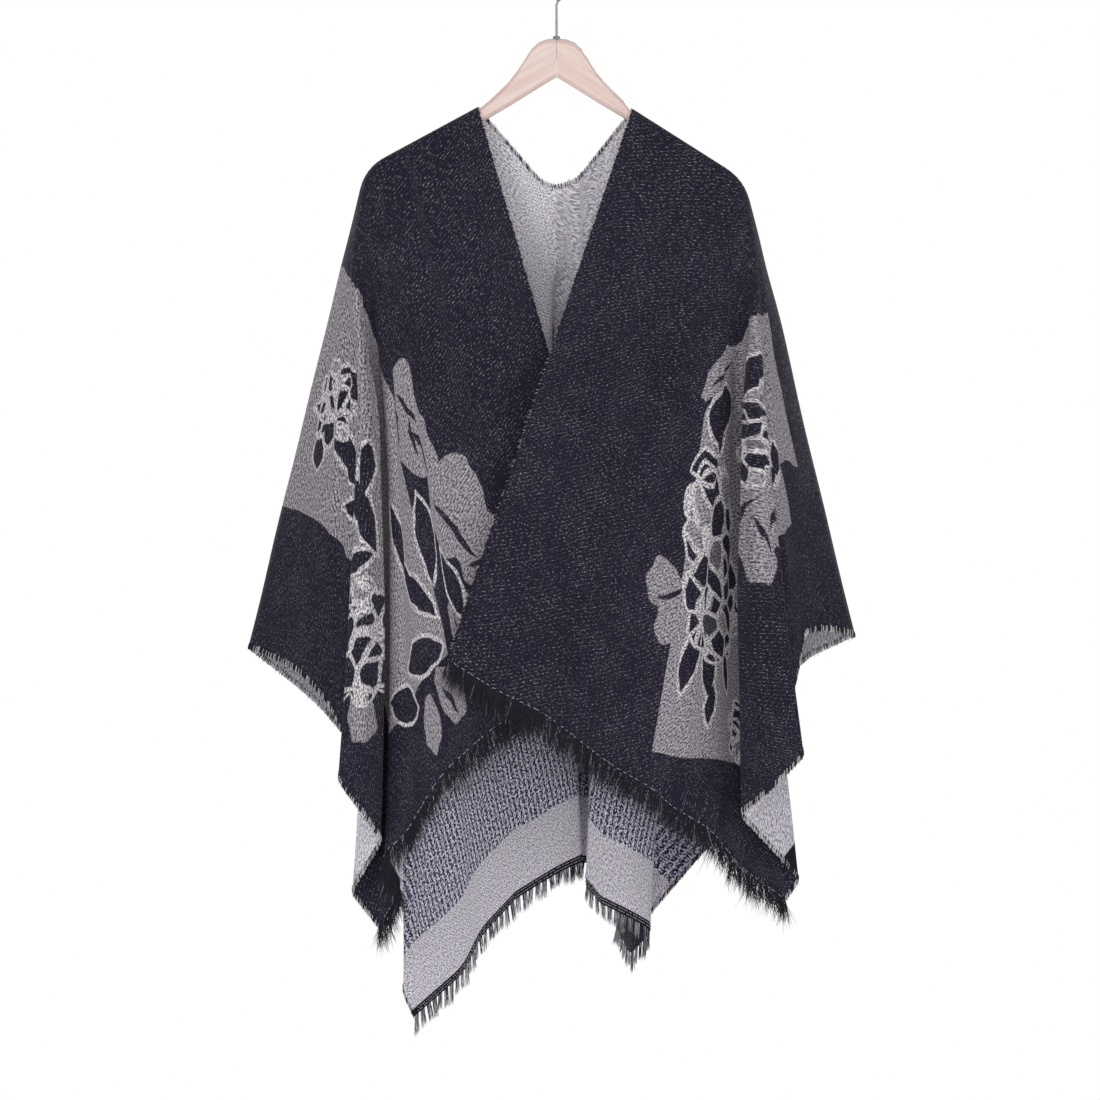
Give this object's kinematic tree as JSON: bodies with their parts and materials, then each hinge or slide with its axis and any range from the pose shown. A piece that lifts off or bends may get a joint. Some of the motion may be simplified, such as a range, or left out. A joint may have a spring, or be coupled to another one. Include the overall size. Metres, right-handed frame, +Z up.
{
  "type": "ruana on hanger",
  "caption": "Open-fronted wrap of dark woven cloth with fringed hems, draped over a pale wooden hanger with a steel hook, one front lying over the other.",
  "frame": {"origin": "inside of the hook's top, where the hanger hangs from its rail", "axes": "+Z up, -Y towards the front, +X towards the right of the picture"},
  "size_m": [0.6684, 0.3035, 1.1786],
  "materials": {
    "cloth": "twill weave, soft nap",
    "fringe": "loose yarn",
    "wood": "clear lacquer",
    "steel": "polished"
  },
  "bodies": {
    "root": {"left_front": "cloth", "right_front": "cloth", "back": "cloth", "left_front_fringe": "fringe", "right_front_fringe": "fringe", "back_fringe": "fringe", "hanger_left": "wood", "hanger_right": "wood", "hook": "steel", "hook_collar": "steel"}
  },
  "joints": []
}
